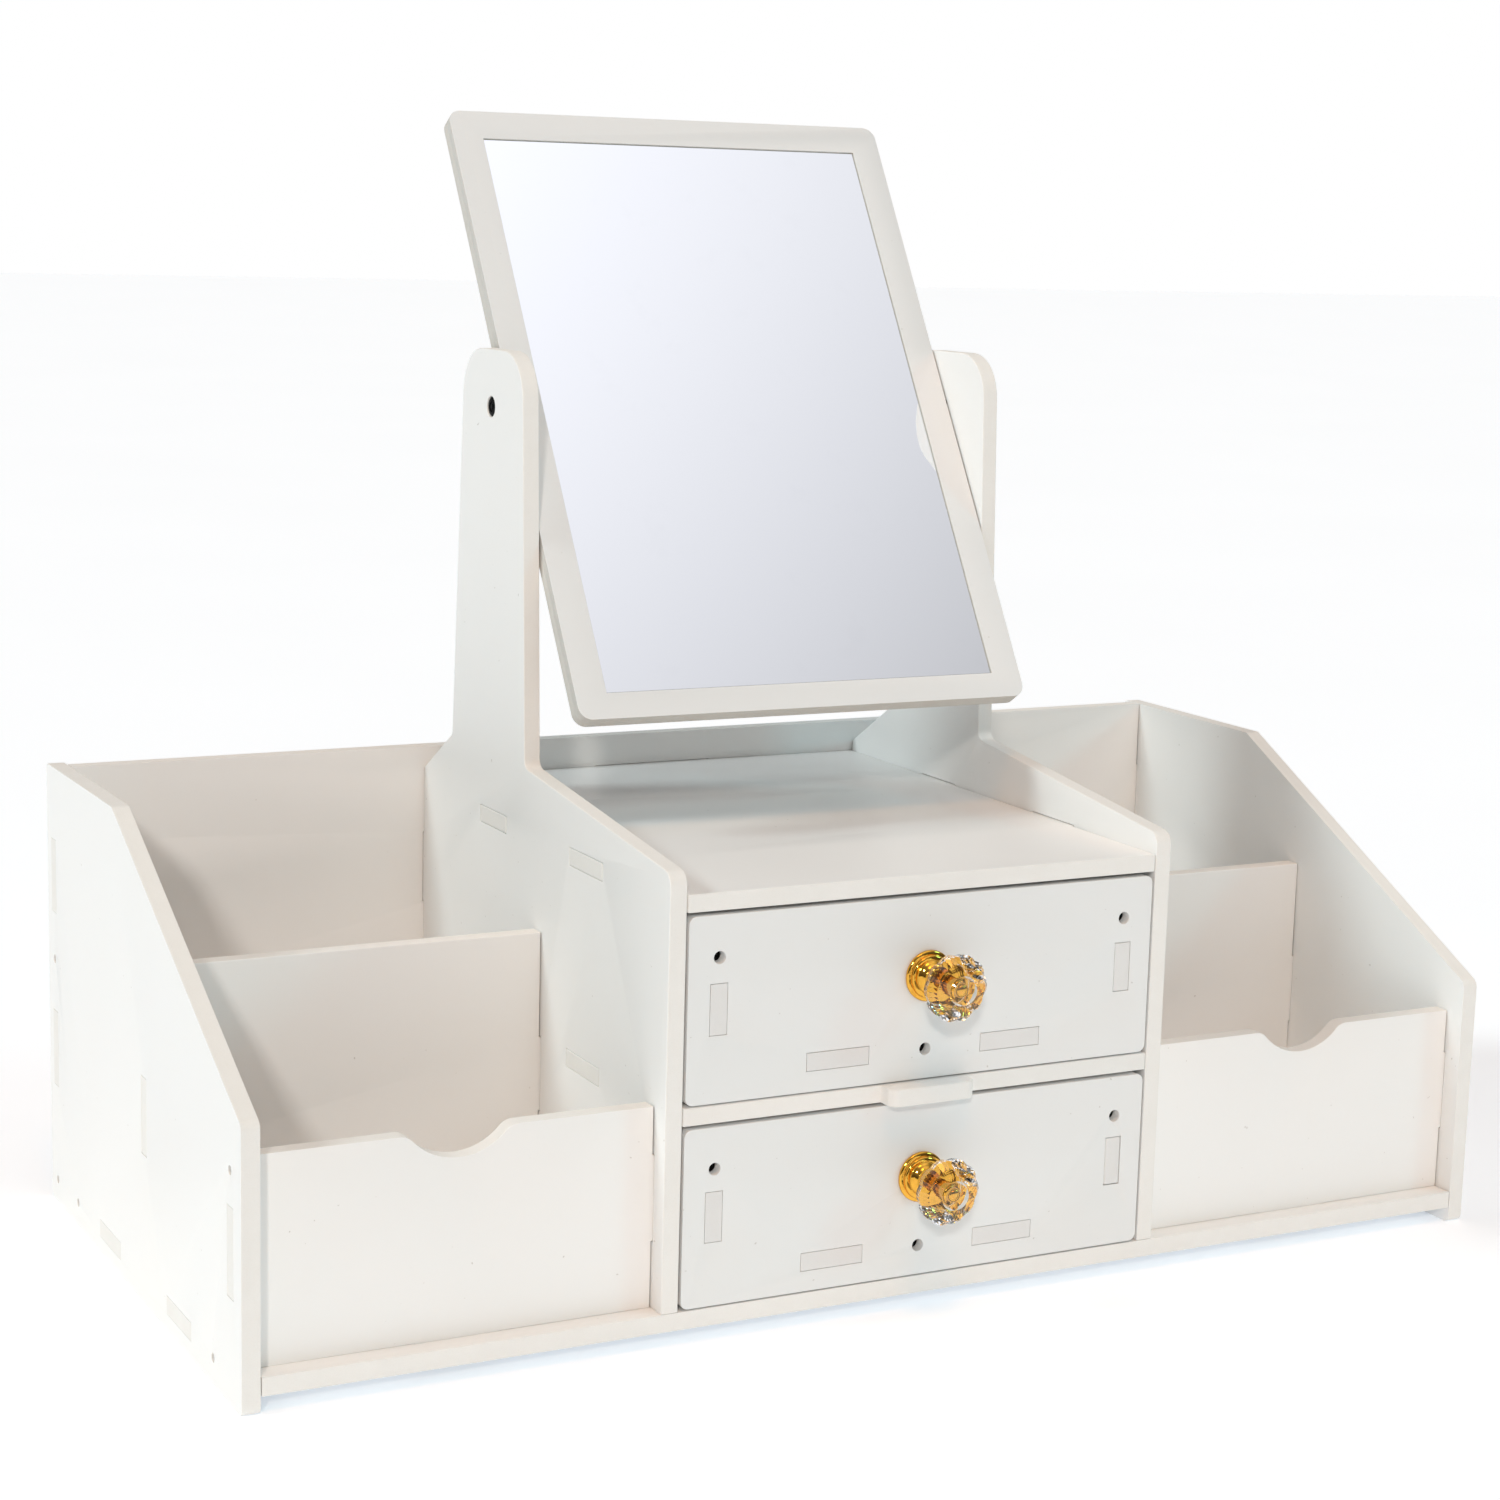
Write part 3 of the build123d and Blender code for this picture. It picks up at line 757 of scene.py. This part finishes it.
# %% Lamps
def direction(around, above):
    """A unit vector: degrees round from the front towards the right, and degrees above the floor."""
    around, above = math.radians(around), math.radians(above)
    return Vector((math.sin(around) * math.cos(above), -math.cos(around) * math.cos(above), math.sin(above)))


def lamp(name, around, above, spread, strength, colour):
    """A far lamp: `spread` is the angle in degrees that it fills, which sets how soft its shadows are."""
    light = bpy.data.lights.new(name, "SUN")
    light.energy, light.angle, light.color = strength * math.pi, math.radians(spread), colour
    holder = bpy.data.objects.new(name, light)
    holder.rotation_mode = "QUATERNION"
    holder.rotation_quaternion = direction(around, above).to_track_quat("Z", "Y")
    bpy.context.scene.collection.objects.link(holder)
    print("lamp", name, "stands", around, "degrees round and", above, "degrees up")


# name, degrees round, degrees up, spread, strength and colour
lamp("key_lamp", -31.5, 26.7, 5, 0.27, (0.96, 0.92, 0.87))
lamp("right_lamp", 53.6, 26.7, 12, 0.11, (0.30, 0.86, 1.0))
lamp("left_lamp", -100, 35, 14, 0.37, (0.84, 0.97, 1.0))
lamp("warm_top_lamp", -20, 65, 14, 0.15, (1.0, 0.42, 0.05))

# %% [markdown]
# ## The room and its soft panel
#
# The room is dim, with a round soft panel overhead that hangs where the mirror looks and fades out
# towards its rim. That fade is the gradient in the glass. It could be painted on the glass, but a mirror
# that is turned must show something else at every angle, so it belongs to the room. The camera itself
# sees a plain white backdrop behind the object instead of the room.

# %% Sky
PANEL_WAY = direction(25.3, 71)
PANEL_RIM, PANEL_CORE = 0.8082, 0.966           # cosines of the angles where the panel ends and is brightest
PANEL_GLOW, PANEL_TINT = 0.84, (0.975, 0.985, 1.045)
ROOM_LOW, ROOM_HIGH = 0.1, 0.6                  # heights between which the room's walls brighten
WALL_GLOW, CEILING_GLOW = 0.10, 0.26
WHITE = (1.0, 1.0, 1.0)


def studio_sky():
    """World light by direction: a dim room with a soft panel, and a white backdrop for the camera."""
    world = bpy.data.worlds.new("studio")
    world.use_nodes = True
    world.node_tree.nodes.clear()
    bench = Bench(world.node_tree)
    way = bench.node("ShaderNodeTexCoord", output="Generated")
    facing = bench.node("ShaderNodeVectorMath", {"operation": "DOT_PRODUCT"}, {0: way, 1: PANEL_WAY},
                        output="Value")
    panel = bench.node("ShaderNodeMapRange", {}, {
        "Value": facing, "From Min": PANEL_RIM, "From Max": PANEL_CORE, "To Min": 0.0, "To Max": PANEL_GLOW})
    height = bench.node("ShaderNodeSeparateXYZ", {}, {0: way}, output=2)
    room = bench.node("ShaderNodeMapRange", {"interpolation_type": "SMOOTHSTEP"}, {
        "Value": height, "From Min": ROOM_LOW, "From Max": ROOM_HIGH, "To Min": WALL_GLOW,
        "To Max": CEILING_GLOW})
    glow = panel + room
    tint = bench.node("ShaderNodeMix", {"data_type": "RGBA"}, {
        MIX_AMOUNT: panel / glow, MIX_FIRST: (*WHITE, 1), MIX_SECOND: (*PANEL_TINT, 1)}, output=MIX_COLOUR)
    lit_room = bench.node("ShaderNodeBackground", {}, {"Color": tint, "Strength": glow})
    backdrop = bench.node("ShaderNodeBackground", {}, {"Color": (*WHITE, 1), "Strength": 1.0})
    seen = bench.node("ShaderNodeLightPath", output="Is Camera Ray")
    sky = bench.node("ShaderNodeMixShader", {}, {0: seen, 1: lit_room, 2: backdrop})
    bench.node("ShaderNodeOutputWorld", {}, {"Surface": sky})
    bpy.context.scene.world = world
    print("the sky has", len(world.node_tree.nodes), "nodes")


studio_sky()
bpy.context.scene.view_settings.view_transform = "Standard"

# %% [markdown]
# ## The camera
#
# The camera stands in front on the left, a little above the mirror's middle, and looks slightly down with
# a long lens, so the boards keep their proportions. Its axes are built from three angles, because a small
# roll is easier to give as an angle than as a turned matrix.

# %% Camera
LENS, SENSOR = 71.88, 36.0                      # millimetres
CAMERA_PLACE = (-0.4119, -0.7700, 0.2986)
YAW, PITCH, ROLL = (math.radians(angle) for angle in (27.37, -10.017, 1.538))
ahead = Vector((math.sin(YAW) * math.cos(PITCH), math.cos(YAW) * math.cos(PITCH), math.sin(PITCH)))
level_right = Vector((math.cos(YAW), -math.sin(YAW), 0))
level_up = level_right.cross(ahead)
right = level_right * math.cos(ROLL) + level_up * math.sin(ROLL)
up = level_up * math.cos(ROLL) - level_right * math.sin(ROLL)
camera_data = bpy.data.cameras.new("camera")
camera_data.lens, camera_data.sensor_width = LENS, SENSOR
camera = bpy.data.objects.new("camera", camera_data)
bpy.context.scene.collection.objects.link(camera)
axes = Matrix((right, up, -ahead)).transposed().to_4x4()
camera.matrix_world = Matrix.Translation(CAMERA_PLACE) @ axes
bpy.context.scene.camera = camera
print("camera stands", round(camera.location.length, 2), "m from the organiser")
